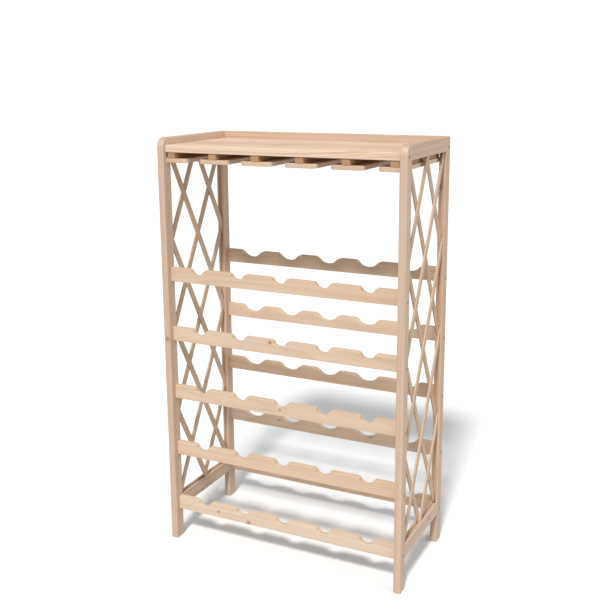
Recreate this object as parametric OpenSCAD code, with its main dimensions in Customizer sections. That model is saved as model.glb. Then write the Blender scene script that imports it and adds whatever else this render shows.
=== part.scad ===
// Free-standing wine rack of plain fir. Two side frames, filled with slanted slats,
// carry five pairs of notched rails: a bottle's neck lies in the front rail and its
// body in the rear one. A boarded top has stem rails for glasses hung underneath.
// Millimetres, +Z up, front towards -Y, origin on the floor under the middle.

/* [Overall] */
// Width over the posts' outer faces
rack_w = 512; // [410:1:640]
// Depth over the posts' front and rear faces
rack_d = 242; // [200:1:300]
// Height from the floor to the posts' tops
rack_h = 840; // [700:1:1010]

/* [Posts] */
// Thickness of a post, across the rack's width
post_t = 14; // [12:0.5:18]
// Breadth of a post, along the rack's depth
post_b = 24; // [20:0.5:32]
// Radius of a front post's top front corner
post_front_r = 18; // [6:1:20]
// Radius of a rear post's top rear corner
post_rear_r = 5; // [2:1:20]

/* [Bottle rails] */
// Number of rows of bottles
rows = 5; // [2:1:5]
// Bottles in a row
columns = 5; // [3:1:5]
// Height of every rail in the rack
rail_h = 28; // [25:0.5:36]
// Thickness of the bottle rails
rail_t = 12; // [10:0.5:16]
// Floor to the underside of the lowest rails
first_row_z = 63; // [40:1:100]
// Spacing of the rows
row_pitch = 123; // [105:1:148]
// Front rails' set-back behind the posts' front faces
front_set_back = 11; // [2:0.5:12]
// Post to the middle of the first notch
end_land = 61; // [45:1:75]
// Width of a neck notch at the rail's top
neck_w = 40; // [34:1:50]
// Depth of a neck notch
neck_depth = 12; // [8:0.5:14]
// Shoulder radius of a neck notch
neck_shoulder_r = 7; // [3:0.5:8]
// Width of a body hollow at the rail's top
body_w = 62; // [50:1:66]
// Depth of a body hollow
body_depth = 14; // [8:0.5:15]
// Shoulder radius of a body hollow
body_shoulder_r = 14; // [6:0.5:16]

/* [Top] */
// Thickness of the shelf boards
board_t = 14; // [12:0.5:20]
// Width of a shelf board
board_w = 65; // [45:1:80]
// Hair gap between two shelf boards
board_gap = 0.3; // [0.1:0.1:1]
// Shelf's set-back behind the posts' front faces
shelf_set_back = 7; // [2:0.5:12]

/* [Stem rails] */
// Number of stem rails
stem_rails = 6; // [3:1:6]
// Width of a stem rail's web
stem_web_w = 16; // [12:0.5:22]
// Height of a stem rail's web
stem_web_h = 12; // [8:0.5:20]
// Width of a stem rail's flange
stem_flange_w = 65; // [45:1:70]
// Thickness of a stem rail's flange
stem_flange_t = 8; // [5:0.5:12]
// Corner radius at a flange's front end
stem_flange_r = 12; // [4:1:20]
// Post to the middle of the outermost webs
stem_end_land = 12; // [11:0.5:30]
// Stem rails' set-back behind the shelf's front edge
stem_set_back = 2; // [0:0.5:10]

/* [Side slats] */
// Diamonds in a side frame's height
diamonds = 4; // [3:1:5]
// Width of a slat
slat_w = 12.5; // [9:0.5:16]
// Thickness of a slat
slat_t = 3; // [2:0.25:4]
// Shift of the middle crossings towards the rear
slat_shift = 4; // [0:0.5:8]
// Depth of the groove that takes the slats' ends
groove_depth = 5; // [3:0.5:6]
// Length of a slat's end inside the groove
slat_tongue = 4.5; // [2:0.5:4.5]
// Play of the two slat layers in the groove, each side
groove_play = 0.1; // [0.1:0.05:0.4]

/* [Fasteners] */
// Radius of a screw's shank
screw_r = 1.75; // [1.5:0.05:2]
// Radius of a screw's head
screw_head_r = 3.4; // [3:0.1:3.8]
// Height of a screw's tapered head
screw_head_h = 2.4; // [2:0.1:3]
// Depth of a screw's head below the wood
screw_sink = 0.6; // [0.2:0.1:1]
// Length of the screws through the posts
rail_screw_l = 35; // [28:1:45]
// Rail's underside to the screws in its ends
screw_rise = 6; // [5:0.5:9]
// Shelf's front edge to the screws in its ends
shelf_screw_y = 6; // [5:0.5:12]
// Bite of the stem rails' screws in the shelf
stem_screw_bite = 10; // [6:0.5:11]
// Radial play of a screw's shank in its hole
screw_play = 0.05; // [0:0.05:0.2]
// Radius of the dowels in the side frames
dowel_r = 3; // [2.5:0.5:4]
// Depth of a dowel in a post
dowel_in_post = 11; // [8:0.5:14]
// Depth of a dowel in a side rail
dowel_in_rail = 18; // [12:1:25]
// Space left at each end of a dowel
dowel_end_play = 1; // [0.5:0.5:2]

/* [Hidden] */
$fn = 64;
arc_steps = 9;
nothing = 0.01;
wood = [0.90, 0.78, 0.64];
wood_dark = [0.82, 0.68, 0.52];
steel = [0.55, 0.52, 0.48];

front_y = -rack_d / 2;
rear_y = rack_d / 2;
inner_x = rack_w / 2 - post_t;
post_x = rack_w / 2 - post_t / 2;
open_y = rack_d / 2 - post_b;

top_rail_z = rack_h - rail_h;
low_rail_top = first_row_z + rail_h;
open_h = top_rail_z - low_rail_top;

front_rail_y = front_y + front_set_back;
rear_rail_y = rear_y - rail_t;
notch_pitch = (2 * inner_x - 2 * end_land) / (columns - 1);

shelf_z = top_rail_z;
shelf_front = front_y + shelf_set_back;
shelf_back = rear_rail_y;
boards = ceil((shelf_back - shelf_front) / board_w);

web_z = shelf_z - stem_web_h;
flange_z = web_z - stem_flange_t;
stem_front = shelf_front + stem_set_back;
stem_pitch = (2 * inner_x - 2 * stem_end_land) / (stem_rails - 1);
stem_screw_l = stem_flange_t + stem_web_h + stem_screw_bite - screw_sink;

diamond_h = open_h / diamonds;
diamond_w = open_y;
slat_lean = atan(diamond_h / diamond_w);
slats = diamonds + 1;
groove_w = 2 * slat_t + 2 * groove_play;

screw_tip = 3 * screw_r;
recess_l = screw_head_r;
recess_w = 0.8;
recess_h = 1.4;

sides = ["left", "right"];
ends = ["front", "rear"];
layers = ["inner", "outer"];
corners = [for (e = ends, s = sides) str("post_", e, "_", s)];

function side_sign(s) = s == "left" ? -1 : 1;
function end_sign(e) = e == "front" ? -1 : 1;
function row_z(r) = first_row_z + (rows - r) * row_pitch;
function notch_x(c) = -inner_x + end_land + (c - 1) * notch_pitch;
function stem_x(k) = -inner_x + stem_end_land + (k - 1) * stem_pitch;
function board_front(b) = shelf_front + (b - 1) * board_w;
function board_back(b) = min(board_front(b) + board_w - board_gap, shelf_back);
function board_mid(b) = (board_front(b) + board_back(b)) / 2;

// Places of the screws driven through the posts, each as [y, z]
front_screws = concat(
    [for (r = [1:rows]) [front_rail_y + rail_t / 2, row_z(r) + screw_rise]],
    [[shelf_front + shelf_screw_y, shelf_z + screw_rise]]);
rear_screws = concat(
    [for (r = [1:rows]) [rear_rail_y + rail_t / 2, row_z(r) + screw_rise]],
    [[rear_rail_y + rail_t / 2, top_rail_z + screw_rise]]);

// A cube given by its low and high corners
module block(low, high) {
    translate(low) cube(high - low);
}

// Countersunk screw, head's top at the origin, pointing down
module screw(length) {
    difference() {
        union() {
            translate([0, 0, -screw_head_h])
                cylinder(h = screw_head_h, r1 = screw_r, r2 = screw_head_r);
            translate([0, 0, screw_tip - length])
                cylinder(h = length - screw_tip - screw_head_h + nothing, r = screw_r);
            translate([0, 0, -length])
                cylinder(h = screw_tip, r1 = screw_r / 8, r2 = screw_r);
        }
        for (turn = [0, 90])
            rotate([0, 0, turn])
                translate([-recess_l / 2, -recess_w / 2, -recess_h])
                    cube([recess_l, recess_w, recess_h + 1]);
    }
}

// The hole that a screw of this length leaves in the wood
module screw_hole(length) {
    translate([0, 0, -length - screw_play])
        cylinder(h = length, r = screw_r + screw_play);
    translate([0, 0, -screw_head_h])
        cylinder(h = screw_head_h, r1 = screw_r, r2 = screw_head_r);
    cylinder(h = screw_sink + 1, r = screw_head_r);
}

// Puts a screw or its hole at each [y, z] place of one side's outer face
module at_side(s, places) {
    for (p = places)
        translate([side_sign(s) * (rack_w / 2 - screw_sink), p[0], p[1]])
            rotate([0, side_sign(s) * 90, 0])
                children();
}

// Puts a screw or its hole under each shelf board, along one stem rail
module under_shelf(k, board_list) {
    for (b = board_list)
        translate([stem_x(k), board_mid(b), flange_z + screw_sink])
            rotate([180, 0, 0])
                children();
}

// Dowel or its hole at one joint of a side frame; play lengthens and z is its height
module dowel(s, e, z, play) {
    length = dowel_in_post + dowel_in_rail - 2 * dowel_end_play + 2 * play;
    middle = end_sign(e) * (open_y + (dowel_in_post - dowel_in_rail) / 2);
    translate([side_sign(s) * post_x, middle, z])
        rotate([90, 0, 0])
            cylinder(h = length, r = dowel_r, center = true);
}

module side_dowels(s, play) {
    for (e = ends, z = [first_row_z + rail_h / 2, top_rail_z + rail_h / 2])
        dowel(s, e, z, play);
}

// Groove that runs round the opening of a side frame and takes the slats
module groove(s) {
    x = side_sign(s) * post_x;
    reach = open_y + groove_depth;
    difference() {
        block([x - groove_w / 2, -reach, low_rail_top - groove_depth],
              [x + groove_w / 2, reach, top_rail_z + groove_depth]);
        block([x - groove_w, -open_y + 1, low_rail_top + 1],
              [x + groove_w, open_y - 1, top_rail_z - 1]);
    }
}

// Side view of a post, front at the left, with its outer top corner rounded
module post_side(e) {
    r = e == "front" ? post_front_r : post_rear_r;
    difference() {
        square([post_b, rack_h]);
        translate([0, rack_h - r])
            difference() {
                translate([-1, 0]) square([r + 1, r + 1]);
                translate([r, 0]) circle(r = r);
            }
    }
}

// One post: e is its end of the rack and s its side
module post(e, s) {
    color(wood)
    difference() {
        translate([side_sign(s) * post_x - post_t / 2, end_sign(e) * rack_d / 2, 0])
            mirror([0, e == "front" ? 0 : 1, 0])
                rotate([90, 0, 90])
                    linear_extrude(height = post_t) post_side(e);
        groove(s);
        at_side(s, e == "front" ? front_screws : rear_screws) screw_hole(rail_screw_l);
        side_dowels(s, dowel_end_play);
    }
}

// Rail of a side frame, between its posts
module side_rail(s, z) {
    color(wood)
    difference() {
        block([side_sign(s) * post_x - post_t / 2, -open_y, z],
              [side_sign(s) * post_x + post_t / 2, open_y, z + rail_h]);
        groove(s);
        side_dowels(s, dowel_end_play);
    }
}

// Points along an arc, from one angle to another
function arc(middle, r, from, to) =
    [for (i = [0:arc_steps]) let (a = from + (to - from) * i / arc_steps)
        [middle[0] + r * cos(a), middle[1] + r * sin(a)]];

// Points of one hollow in a rail's top edge, left to right: a round bottom between
// two round shoulders that meet it without a corner
function hollow(x, width, depth, shoulder_r) =
    let (half = width / 2,
         both_r = (half * half + depth * depth) / (2 * depth),
         bottom_r = both_r - shoulder_r,
         slope = atan2(both_r - depth, half))
    concat(arc([x - half, rail_h - shoulder_r], shoulder_r, 90, slope + turn_step(slope)),
           arc([x, rail_h - depth + bottom_r], bottom_r, 180 + slope, 360 - slope),
           arc([x + half, rail_h - shoulder_r], shoulder_r, 180 - slope - turn_step(slope), 90));

// Angle of one step along a shoulder, left out where the bottom's arc takes over
function turn_step(slope) = (90 - slope) / (arc_steps + 1);

function flat(lists) = [for (l = lists, p = l) p];

// Bottle rail between the posts, y is its front face
module bottle_rail(r, y, width, depth, shoulder_r, screws) {
    color(wood)
    difference() {
        translate([0, y + rail_t, row_z(r)])
            rotate([90, 0, 0])
                linear_extrude(height = rail_t)
                    polygon(concat([[-inner_x, 0], [-inner_x, rail_h]],
                                   flat([for (c = [1:columns])
                                       hollow(notch_x(c), width, depth, shoulder_r)]),
                                   [[inner_x, rail_h], [inner_x, 0]]));
        for (s = sides) at_side(s, screws) screw_hole(rail_screw_l);
    }
}

module front_rail(r) {
    bottle_rail(r, front_rail_y, neck_w, neck_depth, neck_shoulder_r, [front_screws[r - 1]]);
}

module rear_rail(r) {
    bottle_rail(r, rear_rail_y, body_w, body_depth, body_shoulder_r, [rear_screws[r - 1]]);
}

// Rail behind the shelf, which also stops what stands on it
module back_top_rail() {
    color(wood)
    difference() {
        block([-inner_x, rear_rail_y, top_rail_z], [inner_x, rear_y, rack_h]);
        for (s = sides) at_side(s, [rear_screws[rows]]) screw_hole(rail_screw_l);
    }
}

// One lengthwise board of the shelf, numbered from the front
module shelf_board(b) {
    color(wood)
    difference() {
        block([-inner_x, board_front(b), shelf_z], [inner_x, board_back(b), shelf_z + board_t]);
        if (b == 1)
            for (s = sides) at_side(s, [front_screws[rows]]) screw_hole(rail_screw_l);
        for (k = [1:stem_rails]) under_shelf(k, [b]) screw_hole(stem_screw_l);
    }
}

// Upright of a stem rail, fixed under the shelf
module stem_rail_web(k) {
    color(wood_dark)
    difference() {
        block([stem_x(k) - stem_web_w / 2, stem_front, web_z],
              [stem_x(k) + stem_web_w / 2, shelf_back, shelf_z]);
        under_shelf(k, [1:boards]) screw_hole(stem_screw_l);
    }
}

// Plan of a stem rail's flange, front end at the origin, its two corners rounded
module flange_plan() {
    half = stem_flange_w / 2;
    translate([-half, stem_flange_r]) square([stem_flange_w, shelf_back - stem_front - stem_flange_r]);
    translate([stem_flange_r - half, 0]) square([stem_flange_w - 2 * stem_flange_r, 2 * stem_flange_r]);
    for (m = [-1, 1])
        translate([m * (half - stem_flange_r), stem_flange_r]) circle(r = stem_flange_r);
}

// Flat foot of a stem rail; the outermost ones are cut off flush with the posts
module stem_rail_flange(k) {
    color(wood)
    difference() {
        intersection() {
            translate([stem_x(k), stem_front, flange_z])
                linear_extrude(height = stem_flange_t) flange_plan();
            block([-inner_x, front_y, flange_z - 1], [inner_x, rear_y, shelf_z]);
        }
        under_shelf(k, [1:boards]) screw_hole(stem_screw_l);
    }
}

// One slat, numbered from the top. Inner slats fall towards the rear, outer ones
// towards the front, and both layers share the crossings on the middle line.
module slat(s, l, n) {
    way = l == "inner" ? -1 : 1;
    x = side_sign(s) * (post_x + way * slat_t / 2);
    reach = open_y + slat_tongue;
    color(wood_dark)
    intersection() {
        translate([x, slat_shift, top_rail_z - (n - 1) * diamond_h])
            rotate([way * slat_lean, 0, 0])
                cube([slat_t, 4 * rack_h, slat_w], center = true);
        block([x - slat_t, -reach, low_rail_top - slat_tongue],
              [x + slat_t, reach, top_rail_z + slat_tongue]);
    }
}

// Screws through one side's posts into the ends of the rails and the front board
module rail_screws(s) {
    color(steel)
    at_side(s, concat(front_screws, rear_screws)) screw(rail_screw_l);
}

// Screws up through the stem rails into each shelf board
module stem_rail_screws() {
    color(steel)
    for (k = [1:stem_rails]) under_shelf(k, [1:boards]) screw(stem_screw_l);
}

// Dowels between the side rails and the posts
module side_frame_dowels() {
    color(wood_dark)
    for (s = sides) side_dowels(s, 0);
}

for (e = ends, s = sides)
    post(e, s);
for (s = sides) {
    side_rail(s, top_rail_z);
    side_rail(s, first_row_z);
    rail_screws(s);
}
for (r = [1:rows]) {
    front_rail(r);
    rear_rail(r);
}
back_top_rail();
for (b = [1:boards])
    shelf_board(b);
for (k = [1:stem_rails]) {
    stem_rail_web(k);
    stem_rail_flange(k);
}
for (s = sides, l = layers, n = [1:slats])
    slat(s, l, n);
stem_rail_screws();
side_frame_dowels();
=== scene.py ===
import math
import random

import bpy
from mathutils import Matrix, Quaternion, Vector


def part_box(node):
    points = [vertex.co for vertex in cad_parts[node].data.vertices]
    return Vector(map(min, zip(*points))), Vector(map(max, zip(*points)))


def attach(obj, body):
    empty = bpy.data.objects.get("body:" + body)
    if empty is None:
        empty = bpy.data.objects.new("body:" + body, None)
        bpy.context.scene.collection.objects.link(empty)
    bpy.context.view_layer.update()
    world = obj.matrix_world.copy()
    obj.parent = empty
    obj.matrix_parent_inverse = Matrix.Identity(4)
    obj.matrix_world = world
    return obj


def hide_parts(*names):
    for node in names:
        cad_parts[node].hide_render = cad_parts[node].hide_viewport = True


# Free-standing wine rack of plain, unfinished fir. The sticks are planed, their arrises
# eased with sandpaper, and screwed together through the posts. Nothing on it moves.
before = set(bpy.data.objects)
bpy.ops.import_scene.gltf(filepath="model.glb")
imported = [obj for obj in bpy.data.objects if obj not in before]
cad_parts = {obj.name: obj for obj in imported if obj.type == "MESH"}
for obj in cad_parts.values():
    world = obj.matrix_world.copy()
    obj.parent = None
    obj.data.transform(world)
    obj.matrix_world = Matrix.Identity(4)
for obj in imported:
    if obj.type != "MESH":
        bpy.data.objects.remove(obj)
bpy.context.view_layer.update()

# ---------------------------------------------------------------------------- posts
# Four fir posts, planed square. Each front post's top corner is rounded well over, the
# rear ones' only eased. A groove down the edge that faces the lattice takes the slats'
# ends, and the rails' screws are sunk into the outer face.
touch = 1e-5  # Two places closer than this are one place
arris_from = math.radians(30)  # Corners sharper than this are eased
smooth_to = math.radians(50)  # Corners flatter than this are shaded as one curve
face_weight = 90  # How far a flat face keeps its own shading beside an eased arris


def only(piece):
    """Selects one piece alone and makes it the active one."""
    bpy.ops.object.select_all(action="DESELECT")
    piece.select_set(True)
    bpy.context.view_layer.objects.active = piece


def sawn(name, low, high):
    """A squared stick between two corners."""
    bpy.ops.object.select_all(action="DESELECT")
    bpy.ops.mesh.primitive_cube_add(size=1, location=(Vector(low) + Vector(high)) / 2)
    stick = bpy.context.object
    stick.name = stick.data.name = name
    stick.scale = Vector(high) - Vector(low)
    bpy.ops.object.transform_apply(location=True, rotation=True, scale=True)
    return stick


def pick(piece, kind, test):
    """Edit mode on one piece, with the edges or faces picked whose corners all pass the test."""
    only(piece)
    bpy.ops.object.mode_set(mode="EDIT")
    bpy.ops.mesh.select_mode(type=kind)
    bpy.ops.mesh.select_all(action="DESELECT")
    bpy.ops.object.mode_set(mode="OBJECT")
    mesh = piece.data
    for part in mesh.edges if kind == "EDGE" else mesh.polygons:
        part.select = all(test(mesh.vertices[v].co) for v in part.vertices)
    bpy.ops.object.mode_set(mode="EDIT")


def round_corner(stick, radius, steps, test):
    """Rounds the edges that pass the test."""
    pick(stick, "EDGE", test)
    bpy.ops.mesh.bevel(offset=radius, segments=steps, profile=0.5, affect="EDGES")
    bpy.ops.object.mode_set(mode="OBJECT")


def scribe(stick, axis, places):
    """Marks lines round a stick where flat cuts at these places along an axis meet it."""
    normal = [float(i == axis) for i in range(3)]
    pick(stick, "FACE", lambda p: True)
    for place in places:
        bpy.ops.mesh.select_all(action="SELECT")
        bpy.ops.mesh.bisect(plane_co=[place * n for n in normal], plane_no=normal)
    bpy.ops.object.mode_set(mode="OBJECT")


def plough(stick, test, into):
    """Pushes the faces that pass the test into the wood, as a plough plane cuts a groove."""
    pick(stick, "FACE", test)
    bpy.ops.mesh.extrude_region_move(TRANSFORM_OT_translate={"value": into})
    bpy.ops.object.mode_set(mode="OBJECT")


def ease(stick, width, steps=2):
    """Takes the sharpness off every arris, in this many small flats."""
    only(stick)
    arris = stick.modifiers.new("arris", "BEVEL")
    arris.width = width
    arris.segments = steps
    arris.limit_method = "ANGLE"
    arris.angle_limit = arris_from
    arris.use_clamp_overlap = False
    bpy.ops.object.modifier_apply(modifier=arris.name)


head_r, head_h = 0.0035, 0.0024  # A screw head's seat: its radius, and its taper's height
head_sink = 0.0006  # How far the seat's rim lies below the wood
shank_r = 0.0018
head_sides = 24


def sink_heads(stick, places, inward):
    """Drills and countersinks the seat of a screw's head at each place on a face."""
    turn = Vector(inward).to_track_quat("-Z", "Y")
    bits = []
    for place in places:
        bpy.ops.object.select_all(action="DESELECT")
        bpy.ops.mesh.primitive_cylinder_add(vertices=head_sides, radius=head_r,
                                            depth=4 * head_sink, location=(0, 0, head_sink))
        bit = bpy.context.object
        bpy.ops.object.transform_apply(location=True, rotation=True, scale=True)
        pick(bit, "FACE", lambda p: p.z < 0)
        bpy.ops.mesh.extrude_region_move(TRANSFORM_OT_translate={"value": (0, 0, -head_h)})
        bpy.ops.transform.resize(value=(shank_r / head_r, shank_r / head_r, 1))
        bpy.ops.mesh.extrude_region_move(TRANSFORM_OT_translate={"value": (0, 0, -2 * head_h)})
        bpy.ops.object.mode_set(mode="OBJECT")
        bit.rotation_euler = turn.to_euler()
        bit.location = place
        bpy.ops.object.transform_apply(location=True, rotation=True, scale=True)
        bits.append(bit)
    bpy.ops.object.select_all(action="DESELECT")
    for bit in bits:
        bit.select_set(True)
    bpy.context.view_layer.objects.active = bits[0]
    if len(bits) > 1:
        bpy.ops.object.join()
    only(stick)
    drill = stick.modifiers.new("drill", "BOOLEAN")
    drill.operation = "DIFFERENCE"
    drill.solver = "EXACT"
    drill.object = bits[0]
    bpy.ops.object.modifier_apply(modifier=drill.name)
    bpy.data.objects.remove(bits[0])


log_yard = random.Random(25)
stack = random.Random(10843)
log_length = 30
off_pith = 0.035  # The most that a stick's middle lies to one side of the log's pith
pith_near, pith_far = 0.025, 0.1  # How far below its face the pith may lie


def lay_grain(stick, along, face):
    """Gives a stick its own place in a log and its own shade: x runs with the grain, and z
    through its face."""
    along, face = Vector(along).normalized(), Vector(face).normalized()
    across = face.cross(along)
    mesh = stick.data
    middle = sum((v.co for v in mesh.vertices), Vector()) / len(mesh.vertices)
    start = log_yard.uniform(0, log_length)
    aside = log_yard.uniform(-off_pith, off_pith)
    pith = log_yard.uniform(pith_near, pith_far)
    places = []
    for v in mesh.vertices:
        p = v.co - middle
        places += [p.dot(along) + start, p.dot(across) + aside, p.dot(face) + pith]
    mesh.attributes.new("grain", "FLOAT_VECTOR", "POINT").data.foreach_set("vector", places)
    ends = [abs(f.normal.dot(along)) for f in mesh.polygons]
    mesh.attributes.new("endgrain", "FLOAT", "FACE").data.foreach_set("value", ends)
    shades = [stack.uniform(0, 1)] * len(mesh.polygons)
    mesh.attributes.new("shade", "FLOAT", "FACE").data.foreach_set("value", shades)


def finish_stick(stick, slot, material, *stands_for):
    """Smooths the eased arrises, gives the stick its finish and puts it in the rack."""
    only(stick)
    bpy.ops.object.shade_smooth_by_angle(angle=smooth_to)
    flat = stick.modifiers.new("flat faces", "WEIGHTED_NORMAL")
    flat.keep_sharp = True
    flat.weight = face_weight
    bpy.ops.object.modifier_apply(modifier=flat.name)
    stick.data.materials.clear()
    stick.data.materials.append(material)
    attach(stick, "root")
    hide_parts(*stands_for)


def add(tree, kind, inputs=(), **settings):
    """Adds a node, with its settings, and links or sets its inputs."""
    made = tree.nodes.new(kind)
    for key, value in settings.items():
        setattr(made, key, value)
    for key, value in dict(inputs).items():
        if isinstance(value, bpy.types.NodeSocket):
            tree.links.new(value, made.inputs[key])
        else:
            made.inputs[key].default_value = value
    return made


def maths(tree, operation, *values):
    """A sum on numbers or sockets."""
    return add(tree, "ShaderNodeMath", enumerate(values), operation=operation).outputs[0]


def vector_maths(tree, operation, *values):
    """A sum on vectors, which gives a number for a length or a dot product."""
    made = add(tree, "ShaderNodeVectorMath", enumerate(values), operation=operation)
    return made.outputs["Value" if operation in ("LENGTH", "DOT_PRODUCT") else "Vector"]


def fade(tree, value, low, high, start=0.0, end=1.0):
    """Goes smoothly from start to end as value goes from low to high."""
    inputs = {"Value": value, "From Min": low, "From Max": high, "To Min": start, "To Max": end}
    return add(tree, "ShaderNodeMapRange", inputs, interpolation_type="SMOOTHSTEP").outputs[0]


def tint(tree, amount, below, above, way="MIX"):
    """Mixes two colours."""
    inputs = {0: amount, 6: below, 7: above}
    return add(tree, "ShaderNodeMix", inputs, data_type="RGBA", blend_type=way).outputs[2]


def noise(tree, where, scale, detail):
    """Soft noise; scale is its cells per metre."""
    inputs = {"Vector": where, "Scale": scale, "Detail": detail}
    return add(tree, "ShaderNodeTexNoise", inputs).outputs[0]


def streaks(tree, grain, along, across, detail):
    """Noise drawn out along the grain; along and across are its cells per metre."""
    stretched = vector_maths(tree, "MULTIPLY", grain, (along, across, across))
    return noise(tree, stretched, 1.0, detail)


def shader_group(name, inputs, outputs):
    """An empty node group with named sockets, and its input and output nodes."""
    group = bpy.data.node_groups.new(name, "ShaderNodeTree")
    for label, kind, value in inputs:
        socket = group.interface.new_socket(label, in_out="INPUT", socket_type=kind)
        if value is not None:
            socket.default_value = value
    for label, kind in outputs:
        group.interface.new_socket(label, in_out="OUTPUT", socket_type=kind)
    return group, group.nodes.new("NodeGroupInput"), group.nodes.new("NodeGroupOutput")


def send(group, sink, **sockets):
    """Links sockets to the group's outputs of the same names."""
    for label, socket in sockets.items():
        group.links.new(socket, sink.inputs[label])


# Growth rings round the pith, each paler early wood that darkens to a broken line of late
# wood, with fine fibre, drawn-out streaks and a slow drift of tone along each stick.
rings, source, sink = shader_group(
    "fir figure",
    [("Grain", "NodeSocketVector", None), ("Ring", "NodeSocketFloat", 0.003),
     ("Wander", "NodeSocketFloat", 0.008), ("Push", "NodeSocketFloat", 0.0)],
    [("Latewood", "NodeSocketFloat"), ("Fibre", "NodeSocketFloat"),
     ("Streak", "NodeSocketFloat"), ("Tone", "NodeSocketFloat"), ("Height", "NodeSocketFloat")])
grain = source.outputs["Grain"]
from_pith = vector_maths(rings, "LENGTH", vector_maths(rings, "MULTIPLY", grain, (0, 1, 1)))
drift = maths(rings, "SUBTRACT", streaks(rings, grain, along=2.2, across=14, detail=1.0), 0.5)
from_pith = maths(rings, "MULTIPLY_ADD", drift, source.outputs["Wander"], from_pith)
from_pith = maths(rings, "ADD", from_pith, source.outputs["Push"])
years = maths(rings, "DIVIDE", from_pith, source.outputs["Ring"])
lean_years = add(rings, "ShaderNodeTexNoise", {"W": years, "Scale": 0.35, "Detail": 1.0},
                 noise_dimensions="1D").outputs[0]
years = maths(rings, "MULTIPLY_ADD", lean_years, 2.4, years)
season = maths(rings, "FRACT", years)
darkens, ends = fade(rings, season, 0.25, 0.9), fade(rings, season, 1.0, 0.88)
latewood = maths(rings, "MULTIPLY", darkens, ends)
fibre = streaks(rings, grain, along=45, across=1800, detail=2.0)
streak = streaks(rings, grain, along=3.5, across=110, detail=3.0)
patches = streaks(rings, grain, along=12, across=260, detail=3.0)
patchy = fade(rings, patches, 0.3, 0.7, start=0.45, end=1.0)
latewood = maths(rings, "MULTIPLY", latewood, patchy)
tone = streaks(rings, grain, along=0.9, across=9, detail=1.0)
height = maths(rings, "MULTIPLY_ADD", latewood, 0.5, maths(rings, "MULTIPLY", fibre, 0.8))
send(rings, sink, Latewood=latewood, Fibre=fibre, Streak=streak, Tone=tone, Height=height)

# A knot: a branch's dark heart with its bark line, the brown resin halo about it, and the
# rings that swell round it. Distances are in its sizes from its middle.
knot, source, sink = shader_group(
    "branch knot",
    [("Where", "NodeSocketVector", None), ("Place", "NodeSocketVector", None),
     ("Size", "NodeSocketFloat", 0.004)],
    [("Heart", "NodeSocketFloat"), ("Bark", "NodeSocketFloat"), ("Halo", "NodeSocketFloat"),
     ("Push", "NodeSocketFloat")])
away = vector_maths(knot, "SUBTRACT", source.outputs["Where"], source.outputs["Place"])
away = maths(knot, "DIVIDE", vector_maths(knot, "LENGTH", away), source.outputs["Size"])
wobble = noise(knot, source.outputs["Where"], 170.0, 3.0)
away = maths(knot, "MULTIPLY_ADD", maths(knot, "SUBTRACT", wobble, 0.5), 1.5, away)
heart = fade(knot, away, 1.2, 0.6)
bark = maths(knot, "MULTIPLY", fade(knot, away, 1.4, 1.0), fade(knot, away, 0.5, 0.95))
swell = fade(knot, away, 4.5, 0.6)
halo = fade(knot, away, 2.8, 1.0)
push = maths(knot, "MULTIPLY", maths(knot, "MULTIPLY", swell, swell), source.outputs["Size"])
send(knot, sink, Heart=heart, Bark=bark, Halo=halo, Push=push)

# Small pin knots, scattered sparsely through every stick.
pins, source, sink = shader_group(
    "pin knots", [("Grain", "NodeSocketVector", None), ("Share", "NodeSocketFloat", 0.2)],
    [("Pin", "NodeSocketFloat")])
pins_per_metre = (11, 24, 24)
cells = vector_maths(pins, "MULTIPLY", source.outputs["Grain"], pins_per_metre)
cell = add(pins, "ShaderNodeTexVoronoi", {"Vector": cells, "Scale": 1.0}, voronoi_dimensions="3D")
chosen = add(pins, "ShaderNodeSeparateColor", {0: cell.outputs["Color"]}).outputs[0]
chosen = maths(pins, "LESS_THAN", chosen, source.outputs["Share"])
pin = maths(pins, "MULTIPLY", fade(pins, cell.outputs["Distance"], 0.075, 0.02), chosen)
send(pins, sink, Pin=pin)

# Handled edges: where a softened normal leaves the true one, the wood is rubbed smooth, and fir()
# paints it lighter there, partly as rubbed wood and partly as a painted highlight.
edges, source, sink = shader_group(
    "rubbed and highlit arris", [("Width", "NodeSocketFloat", 0.0015)], [("Arris", "NodeSocketFloat")])
soft = add(edges, "ShaderNodeBevel", {"Radius": source.outputs["Width"]}, samples=4).outputs[0]
true = add(edges, "ShaderNodeNewGeometry").outputs["Normal"]
arris = fade(edges, vector_maths(edges, "DOT_PRODUCT", soft, true), 0.998, 0.93)
send(edges, sink, Arris=arris)


pale_stick, dark_stick = (1.03, 1.035, 1.04, 1), (0.96, 0.925, 0.885, 1)
warm_tone, streak_tone = (1.0, 0.9, 0.8, 1), (0.93, 0.84, 0.73, 1)
fibre_tone, rubbed_and_highlight_tone = (0.9, 0.86, 0.8, 1), (1.06, 1.04, 1.0, 1)
end_tone, halo_tone = (0.86, 0.77, 0.67, 1), (0.82, 0.66, 0.52, 1)
pin_brown, heart_brown = (0.20, 0.105, 0.05, 1), (0.38, 0.225, 0.13, 1)
bark_brown = (0.22, 0.12, 0.065, 1)
planed_gloss = 0.35
grain_relief = 0.00018  # How far late wood and fibre stand out of a planed face


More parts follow.
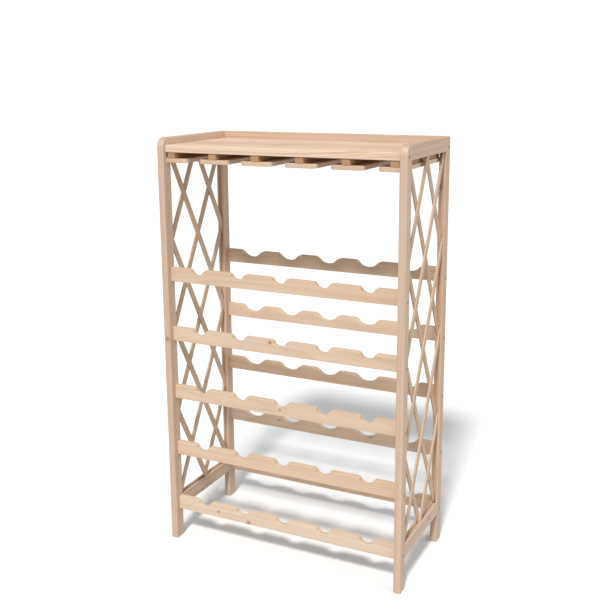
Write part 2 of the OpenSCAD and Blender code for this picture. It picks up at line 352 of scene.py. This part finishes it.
def fir(name, early, late, contrast=0.5, ring=0.003, wander=0.01, pin_share=0.16, knots=(),
        variety=1.0):
    """Planed, unfinished fir. Early and late are the colours of its two kinds of wood, ring
    and wander the rings' width and waviness and knots [place, size], all in metres, and
    variety is how much one stick's shade differs from the next one's."""
    material = bpy.data.materials.new(name)
    material.use_nodes = True
    tree = material.node_tree
    shader = tree.nodes["Principled BSDF"]
    grain = add(tree, "ShaderNodeAttribute", attribute_name="grain").outputs["Vector"]
    end = add(tree, "ShaderNodeAttribute", attribute_name="endgrain").outputs["Fac"]
    where = add(tree, "ShaderNodeTexCoord").outputs["Object"]
    heart, bark, halo, push = 0.0, 0.0, 0.0, 0.0
    for place, size in knots:
        made = add(tree, "ShaderNodeGroup", node_tree=knot)
        tree.links.new(where, made.inputs["Where"])
        made.inputs["Place"].default_value = place
        made.inputs["Size"].default_value = size
        heart = maths(tree, "MAXIMUM", made.outputs["Heart"], heart)
        bark = maths(tree, "MAXIMUM", made.outputs["Bark"], bark)
        halo = maths(tree, "MAXIMUM", made.outputs["Halo"], halo)
        push = maths(tree, "ADD", made.outputs["Push"], push)
    figure = add(tree, "ShaderNodeGroup", node_tree=rings)
    tree.links.new(grain, figure.inputs["Grain"])
    figure.inputs["Ring"].default_value = ring
    figure.inputs["Wander"].default_value = wander
    if knots:
        tree.links.new(push, figure.inputs["Push"])
    scattered = add(tree, "ShaderNodeGroup", node_tree=pins)
    tree.links.new(grain, scattered.inputs["Grain"])
    scattered.inputs["Share"].default_value = pin_share
    worn_and_highlit = add(tree, "ShaderNodeGroup", node_tree=edges)

    end = fade(tree, end, 0.6, 0.9)
    line = maths(tree, "MULTIPLY", figure.outputs["Latewood"], contrast)
    colour = tint(tree, line, (*early, 1), (*late, 1))
    shade = add(tree, "ShaderNodeAttribute", attribute_name="shade").outputs["Fac"]
    shade = maths(tree, "MULTIPLY_ADD", shade, variety, (1 - variety) / 2)
    shade = tint(tree, shade, pale_stick, dark_stick)
    colour = tint(tree, 1.0, colour, shade, "MULTIPLY")
    warm = fade(tree, figure.outputs["Tone"], 0.32, 0.68)
    colour = tint(tree, maths(tree, "MULTIPLY", warm, 0.55), colour, warm_tone, "MULTIPLY")
    drawn = fade(tree, figure.outputs["Streak"], 0.35, 0.75)
    colour = tint(tree, maths(tree, "MULTIPLY", drawn, 0.6), colour, streak_tone, "MULTIPLY")
    fine = fade(tree, figure.outputs["Fibre"], 0.3, 0.7)
    colour = tint(tree, maths(tree, "MULTIPLY", fine, 0.25), colour, fibre_tone, "MULTIPLY")
    # Arrises painted a little lighter: rubbed wood, and a painted highlight.
    rubbed_and_highlight = maths(tree, "MULTIPLY", worn_and_highlit.outputs["Arris"], 0.35)
    colour = tint(tree, rubbed_and_highlight, colour, rubbed_and_highlight_tone, "MULTIPLY")
    colour = tint(tree, maths(tree, "MULTIPLY", end, 0.7), colour, end_tone, "MULTIPLY")
    colour = tint(tree, scattered.outputs["Pin"], colour, pin_brown)
    if knots:
        colour = tint(tree, maths(tree, "MULTIPLY", halo, 0.5), colour, halo_tone, "MULTIPLY")
        colour = tint(tree, maths(tree, "MULTIPLY", heart, 0.8), colour, heart_brown)
        colour = tint(tree, maths(tree, "MULTIPLY", bark, 0.4), colour, bark_brown)
    tree.links.new(colour, shader.inputs["Base Color"])

    rough = maths(tree, "MULTIPLY_ADD", figure.outputs["Fibre"], 0.16, 0.55)
    rough = maths(tree, "MULTIPLY_ADD", figure.outputs["Latewood"], -0.06, rough)
    rough = maths(tree, "MULTIPLY_ADD", worn_and_highlit.outputs["Arris"], -0.08, rough)
    tree.links.new(maths(tree, "MULTIPLY_ADD", end, 0.14, rough), shader.inputs["Roughness"])
    shader.inputs["Specular IOR Level"].default_value = planed_gloss
    relief = add(tree, "ShaderNodeBump", {"Height": figure.outputs["Height"],
                                          "Strength": 0.45, "Distance": grain_relief})
    tree.links.new(relief.outputs[0], shader.inputs["Normal"])
    return material


post_front_r, post_rear_r = 0.018, 0.005
front_steps, rear_steps = 12, 6
groove_half, groove_deep = 0.0031, 0.005
post_arris = 0.0009
rows = 5
lattice_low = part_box("side_bottom_rail_left")[1].z
lattice_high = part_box("side_top_rail_left")[0].z
screw_rise = 0.006  # A rail's underside to the screws in its ends
row_heights = [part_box(f"front_rail_{row}")[0].z + screw_rise for row in range(1, rows + 1)]
shelf_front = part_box("shelf_board_1")[0]
shelf_screw_y = 0.006  # The shelf's front edge to the screws in its ends
post_fir = fir("fir_post", (0.63, 0.485, 0.385), (0.50, 0.345, 0.235), ring=0.0028,
               knots=[((-0.249, -0.121, 0.437), 0.0035), ((0.2435, 0.097, 0.745), 0.0042),
                      ((-0.245, 0.097, 0.235), 0.003)])
for end, side in [(e, s) for e in ("front", "rear") for s in ("left", "right")]:
    low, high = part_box(f"post_{end}_{side}")
    out_x = low.x if side == "left" else high.x
    out_y = low.y if end == "front" else high.y
    in_y = high.y if end == "front" else low.y
    toward = 1 if end == "front" else -1
    outward = -1 if side == "left" else 1
    middle_x = (low.x + high.x) / 2
    post = sawn(f"{end}_{side}_post", low, high)
    radius, steps = (post_front_r, front_steps) if end == "front" else (post_rear_r, rear_steps)
    round_corner(post, radius, steps,
                 lambda p: abs(p.z - high.z) < touch and abs(p.y - out_y) < touch)
    scribe(post, 0, (middle_x - groove_half, middle_x + groove_half))
    scribe(post, 2, (lattice_low - groove_deep, lattice_high + groove_deep))
    plough(post, lambda p: abs(p.y - in_y) < touch and abs(p.x - middle_x) < groove_half + touch
           and lattice_low - groove_deep - touch < p.z < lattice_high + groove_deep + touch,
           (0, -toward * groove_deep, 0))
    ease(post, post_arris)
    if end == "front":
        rail_low, rail_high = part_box("front_rail_1")
        screws = [((rail_low.y + rail_high.y) / 2, z) for z in row_heights]
        screws.append((shelf_front.y + shelf_screw_y, shelf_front.z + screw_rise))
    else:
        rail_low, rail_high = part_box("rear_rail_1")
        screws = [((rail_low.y + rail_high.y) / 2, z) for z in row_heights]
        screws.append((screws[0][0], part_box("back_top_rail")[0].z + screw_rise))
    sink_heads(post, [(out_x, y, z) for y, z in screws], (-outward, 0, 0))
    lay_grain(post, (0, 0, 1), (0, 1, 0))
    finish_stick(post, "fir_post", post_fir, f"post_{end}_{side}")

# ----------------------------------------------------------------------- side rails
# Two short fir rails close each side frame, dowelled between its posts. The groove runs
# on along the upper rail's underside and the lower rail's top edge. A long rail of the
# same stock stands behind the shelf and stops what is set down there.
rail_arris = 0.0008
side_fir = fir("fir_side_rail", (0.63, 0.49, 0.39), (0.50, 0.35, 0.24), contrast=0.55, ring=0.0032,
               knots=[((-0.242, -0.02, 0.066), 0.0035), ((0.256, 0.045, 0.079), 0.003)])
for side in ("left", "right"):
    for level in ("top", "bottom"):
        node = f"side_{level}_rail_{side}"
        low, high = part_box(node)
        slot_z = low.z if level == "top" else high.z
        into = groove_deep if level == "top" else -groove_deep
        middle_x = (low.x + high.x) / 2
        rail = sawn(f"{side}_{level}_rail", low, high)
        scribe(rail, 0, (middle_x - groove_half, middle_x + groove_half))
        plough(rail, lambda p: abs(p.z - slot_z) < touch
               and abs(p.x - middle_x) < groove_half + touch, (0, 0, into))
        ease(rail, rail_arris)
        lay_grain(rail, (0, 1, 0), (1, 0, 0))
        finish_stick(rail, "fir_side_rail", side_fir, node)
back_rail = sawn("rail_behind_shelf", *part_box("back_top_rail"))
ease(back_rail, rail_arris)
lay_grain(back_rail, (1, 0, 0), (0, 1, 0))
finish_stick(back_rail, "fir_side_rail", side_fir, "back_top_rail")

# --------------------------------------------------------------------- bottle rails
# Five pairs of fir rails. A front rail has a small notch for each neck and a rear rail a
# wide hollow for each body, cut with a shaped cutter through the whole thickness, and
# every arris is eased, round the notches too.
weld = 1e-6  # Corners of loose triangles closer than this are joined
flat_to = math.radians(0.2)  # Triangles that meet flatter than this are one face


def cad_copy(name, node):
    """A copy of a CAD piece, its loose triangles merged."""
    piece = bpy.data.objects.new(name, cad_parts[node].data.copy())
    bpy.context.collection.objects.link(piece)
    only(piece)
    bpy.ops.object.mode_set(mode="EDIT")
    bpy.ops.mesh.select_all(action="SELECT")
    bpy.ops.mesh.remove_doubles(threshold=weld)
    bpy.ops.object.mode_set(mode="OBJECT")
    return piece


def shaped(name, node):
    """A board of the CAD piece's front outline, pushed back through its thickness."""
    low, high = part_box(node)
    board = cad_copy(name, node)
    pick(board, "FACE", lambda p: abs(p.y - low.y) < weld)
    bpy.ops.mesh.select_all(action="INVERT")
    bpy.ops.mesh.delete(type="FACE")
    bpy.ops.mesh.select_all(action="SELECT")
    bpy.ops.mesh.dissolve_limited(angle_limit=flat_to)
    bpy.ops.mesh.select_all(action="SELECT")
    bpy.ops.mesh.extrude_region_move(TRANSFORM_OT_translate={"value": (0, high.y - low.y, 0)})
    bpy.ops.mesh.select_all(action="SELECT")
    bpy.ops.mesh.normals_make_consistent(inside=False)
    bpy.ops.mesh.customdata_custom_splitnormals_clear()
    bpy.ops.object.mode_set(mode="OBJECT")
    return board


bottle_fir = fir("fir_bottle_rail", (0.70, 0.57, 0.455), (0.56, 0.42, 0.30), contrast=0.45,
                 ring=0.0036, wander=0.016,
                 knots=[((-0.02, -0.110, 0.455), 0.0028), ((0.0, -0.11, 0.322), 0.0022),
                        ((-0.075, -0.11, 0.0655), 0.0034), ((-0.146, -0.11, 0.076), 0.0020),
                        ((0.10, 0.109, 0.205), 0.004)])
for row in range(1, rows + 1):
    for end in ("front", "rear"):
        node = f"{end}_rail_{row}"
        rail = shaped(f"{end}_bottle_rail_{row}", node)
        ease(rail, rail_arris)
        lay_grain(rail, (1, 0, 0), (0, 1, 0))
        finish_stick(rail, "fir_bottle_rail", bottle_fir, node)

# ---------------------------------------------------------------------------- shelf
# Four fir boards laid edge to edge between the side frames, screwed from below. Their long arrises
# are eased, and a little dust with painted shade darkens the joints, which show as fine lines.
shelf_fir = fir("fir_shelf", (0.78, 0.615, 0.49), (0.55, 0.375, 0.25), contrast=0.85,
                ring=0.0034, wander=0.02, variety=2.0,
                knots=[((-0.12, 0.02, 0.826), 0.004), ((0.15, -0.055, 0.826), 0.003)])
board_arris = 0.0012
# The dust and painted shade in a joint: how far off the joint it ends, and where it is thickest.
dust_and_shade_clear, dust_and_shade_full = 0.0016, 0.0005  # Off a joint: where the dust ends, and where it is thickest
dust_and_shade_tone = (0.58, 0.40, 0.27, 1)
# Each board joint gets a fine darker line: partly dust, partly painted shade in the joint.
tree = shelf_fir.node_tree
shader = tree.nodes["Principled BSDF"]
where = add(tree, "ShaderNodeTexCoord").outputs["Object"]
depth = add(tree, "ShaderNodeSeparateXYZ", {0: where}).outputs["Y"]
dust_and_shade = 0.0
for number in range(1, 4):
    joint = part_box(f"shelf_board_{number}")[1].y
    off_joint = maths(tree, "ABSOLUTE", maths(tree, "SUBTRACT", depth, joint))
    dust_and_shade = maths(tree, "MAXIMUM", fade(tree, off_joint, dust_and_shade_clear, dust_and_shade_full), dust_and_shade)
colour = shader.inputs["Base Color"].links[0].from_socket
colour = tint(tree, maths(tree, "MULTIPLY", dust_and_shade, 0.7), colour, dust_and_shade_tone, "MULTIPLY")
tree.links.new(colour, shader.inputs["Base Color"])
for number in range(1, 5):
    board = sawn(f"board_{number}", *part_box(f"shelf_board_{number}"))
    ease(board, board_arris)
    lay_grain(board, (1, 0, 0), (0, 0, 1))
    finish_stick(board, "fir_shelf", shelf_fir, f"shelf_board_{number}")

# ----------------------------------------------------------------------- stem rails
# Six T-shaped rails under the shelf hold glasses by the foot: a square fir web, and a
# thin flange below it with its front corners rounded. Screws go up through both. The
# outermost flanges are cut off flush with the side frames.
# The web's fir is painted darker and more orange than the flange's, the same stock: painted shade
# from the shelf above it.
shaded_web_fir = fir("fir_stem_web_painted_shade", (0.53, 0.355, 0.225), (0.40, 0.25, 0.145), ring=0.0026)
flange_fir = fir("fir_stem_flange", (0.76, 0.63, 0.53), (0.59, 0.44, 0.33))
stem_rails = 6
flange_corner_r, corner_steps = 0.012, 8
web_arris, flange_arris = 0.0006, 0.0008
board_boxes = [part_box(f"shelf_board_{number}") for number in range(1, 5)]
for number in range(1, stem_rails + 1):
    low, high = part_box(f"stem_rail_web_{number}")
    stem_x = (low.x + high.x) / 2
    web = sawn(f"stem_web_{number}", low, high)
    ease(web, web_arris)
    lay_grain(web, (0, 1, 0), (1, 0, 0))
    finish_stick(web, "fir_stem_rail", shaded_web_fir, f"stem_rail_web_{number}")
    low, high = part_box(f"stem_rail_flange_{number}")
    flange = sawn(f"stem_flange_{number}", low, high)
    for side_x, cut_flush in ((low.x, number == 1), (high.x, number == stem_rails)):
        if not cut_flush:
            round_corner(flange, flange_corner_r, corner_steps,
                         lambda p: abs(p.y - low.y) < touch and abs(p.x - side_x) < touch)
    ease(flange, flange_arris)
    sink_heads(flange, [(stem_x, (a.y + b.y) / 2, low.z) for a, b in board_boxes], (0, 0, 1))
    lay_grain(flange, (0, 1, 0), (0, 0, 1))
    finish_stick(flange, "fir_stem_rail", flange_fir, f"stem_rail_flange_{number}")

# -------------------------------------------------------------------------- lattice
# Thin fir slats in two layers fill each side frame. The inner ones fall to the rear and
# the outer ones to the front, glued where they cross, with their ends in the groove.
slat_fir = fir("fir_slat", (0.62, 0.48, 0.37), (0.48, 0.34, 0.23), contrast=0.45, ring=0.0024,
               wander=0.006, pin_share=0.08)
slat_arris = 0.0004
slats_a_layer = 5


def flat_faced(name, node):
    """A copy of a CAD piece with whole flat faces, ready for its arrises to be eased."""
    piece = cad_copy(name, node)
    bpy.ops.object.mode_set(mode="EDIT")
    bpy.ops.mesh.select_all(action="SELECT")
    bpy.ops.mesh.dissolve_limited(angle_limit=flat_to)
    bpy.ops.mesh.customdata_custom_splitnormals_clear()
    bpy.ops.object.mode_set(mode="OBJECT")
    return piece


diamonds = 4  # Over half the open depth, a slat falls the lattice's height divided by this
open_half = -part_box("side_bottom_rail_left")[0].y
slat_lean = math.atan((lattice_high - lattice_low) / diamonds / open_half)
for side in ("left", "right"):
    for layer in ("inner", "outer"):
        fall = -1 if layer == "inner" else 1
        for number in range(1, slats_a_layer + 1):
            node = f"slat_{side}_{layer}_{number}"
            slat = flat_faced(f"lattice_{side}_{layer}_{number}", node)
            ease(slat, slat_arris, 1)
            lay_grain(slat, (0, math.cos(slat_lean), fall * math.sin(slat_lean)), (1, 0, 0))
            finish_stick(slat, "fir_slat", slat_fir, node)

# ------------------------------------------------------------------ screws and dowels
# Countersunk cross-head screws of zinc-plated steel, dulled and sunk just below the wood.
# Beech dowels hold the side frames' corners and don't show.
dull_zinc, dark_zinc = (0.23, 0.20, 0.165, 1), (0.11, 0.095, 0.08, 1)
zinc = bpy.data.materials.new("zinc_screw")
zinc.use_nodes = True
tree = zinc.node_tree
shader = tree.nodes["Principled BSDF"]
where = add(tree, "ShaderNodeTexCoord").outputs["Object"]
spangle = noise(tree, where, 900.0, 3.0)
tarnish = noise(tree, where, 120.0, 2.0)
colour = tint(tree, fade(tree, tarnish, 0.35, 0.7), dull_zinc, dark_zinc)
tree.links.new(colour, shader.inputs["Base Color"])
shader.inputs["Metallic"].default_value = 0.85
tree.links.new(maths(tree, "MULTIPLY_ADD", spangle, 0.3, 0.3), shader.inputs["Roughness"])
relief = add(tree, "ShaderNodeBump", {"Height": spangle, "Strength": 0.3, "Distance": 0.0001})
tree.links.new(relief.outputs[0], shader.inputs["Normal"])
for node in ("rail_screws_left", "rail_screws_right", "stem_rail_screws"):
    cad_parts[node].data.materials.clear()
    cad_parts[node].data.materials.append(zinc)

pale_beech, fleck_beech = (0.60, 0.40, 0.25, 1), (0.48, 0.30, 0.17, 1)
beech = bpy.data.materials.new("beech_dowel")
beech.use_nodes = True
tree = beech.node_tree
shader = tree.nodes["Principled BSDF"]
where = add(tree, "ShaderNodeTexCoord").outputs["Object"]
drawn = add(tree, "ShaderNodeMapping", {"Vector": where, "Scale": (900, 60, 900)}).outputs[0]
fleck = noise(tree, drawn, 1.0, 2.0)
colour = tint(tree, fade(tree, fleck, 0.35, 0.65), pale_beech, fleck_beech)
tree.links.new(colour, shader.inputs["Base Color"])
tree.links.new(maths(tree, "MULTIPLY_ADD", fleck, 0.2, 0.5), shader.inputs["Roughness"])
relief = add(tree, "ShaderNodeBump", {"Height": fleck, "Strength": 0.3, "Distance": 0.0001})
tree.links.new(relief.outputs[0], shader.inputs["Normal"])
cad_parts["side_frame_dowels"].data.materials.clear()
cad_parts["side_frame_dowels"].data.materials.append(beech)

# --------------------------------------------------------------------------- studio
# A plain pale floor that runs out of sight, a soft key light high in front, a broad cool
# one low on the right, and an even white surround that fills the shadows.
floor_size, floor_drop = 60, 0.0002
floor_seen, floor_lit = (0.93, 0.93, 0.93, 1), (0.55, 0.55, 0.55, 1)
bpy.ops.object.select_all(action="DESELECT")
bpy.ops.mesh.primitive_plane_add(size=floor_size, location=(0, 0, -floor_drop))
floor = bpy.context.object
floor.name = "studio_floor"
paper = bpy.data.materials.new("pale_paper")
paper.use_nodes = True
tree = paper.node_tree
shader = tree.nodes["Principled BSDF"]
seen = add(tree, "ShaderNodeLightPath").outputs["Is Camera Ray"]
tree.links.new(tint(tree, seen, floor_lit, floor_seen), shader.inputs["Base Color"])
shader.inputs["Roughness"].default_value = 0.9
shader.inputs["Specular IOR Level"].default_value = 0.1
floor.data.materials.append(paper)


def lamp(name, azimuth, elevation, energy, spread, colour):
    """A far light, its spread in degrees; azimuth 0 is in front of the rack, 90 to its right."""
    light = bpy.data.lights.new(name, "SUN")
    light.energy = energy
    light.angle = math.radians(spread)
    light.color = colour
    a, e = math.radians(azimuth), math.radians(elevation)
    shines_from = Vector((math.sin(a) * math.cos(e), -math.cos(a) * math.cos(e), math.sin(e)))
    made = bpy.data.objects.new(name, light)
    made.rotation_euler = shines_from.to_track_quat("Z", "Y").to_euler()
    bpy.context.collection.objects.link(made)


lamp("key", 11, 49, 2.8, 8, (1.0, 0.985, 0.965))
lamp("side_fill", 88, 18, 0.95, 50, (0.86, 0.95, 1.0))

world = bpy.data.worlds.new("surround")
bpy.context.scene.world = world
world.use_nodes = True
tree = world.node_tree
tree.nodes.clear()
seen = add(tree, "ShaderNodeLightPath").outputs["Is Camera Ray"]
surround_fill, surround_glow = 0.45, 0.7  # What lights the rack, and what the eye sees beyond that
strength = maths(tree, "MULTIPLY_ADD", seen, surround_glow, surround_fill)
surround = add(tree, "ShaderNodeBackground", {"Color": (0.97, 0.985, 1.0, 1), "Strength": strength})
add(tree, "ShaderNodeOutputWorld", {"Surface": surround.outputs[0]})
bpy.context.scene.view_settings.view_transform = "Standard"

# The camera stands to the right of the rack's front, a little higher than its top.
camera_azimuth, camera_elevation, camera_roll = (math.radians(a) for a in (26.427, 12.129, -0.427))
camera_back, camera_right, camera_up = 1.84473, -0.00792, 0.1145
aim_height = 0.4608
back = Vector((math.sin(camera_azimuth) * math.cos(camera_elevation),
               -math.cos(camera_azimuth) * math.cos(camera_elevation), math.sin(camera_elevation)))
right = Vector((math.cos(camera_azimuth), math.sin(camera_azimuth), 0))
up = back.cross(right)
camera = bpy.data.objects.new("camera", bpy.data.cameras.new("camera"))
camera.location = (Vector((0, 0, aim_height)) + right * camera_right + up * camera_up
                   + back * camera_back)
camera.rotation_mode = "QUATERNION"
camera.rotation_quaternion = Quaternion(back, camera_roll) @ back.to_track_quat("Z", "Y")
camera.data.sensor_width = 36
camera.data.lens = 54.995
camera.data.shift_y = -0.05
bpy.context.collection.objects.link(camera)
bpy.context.scene.camera = camera
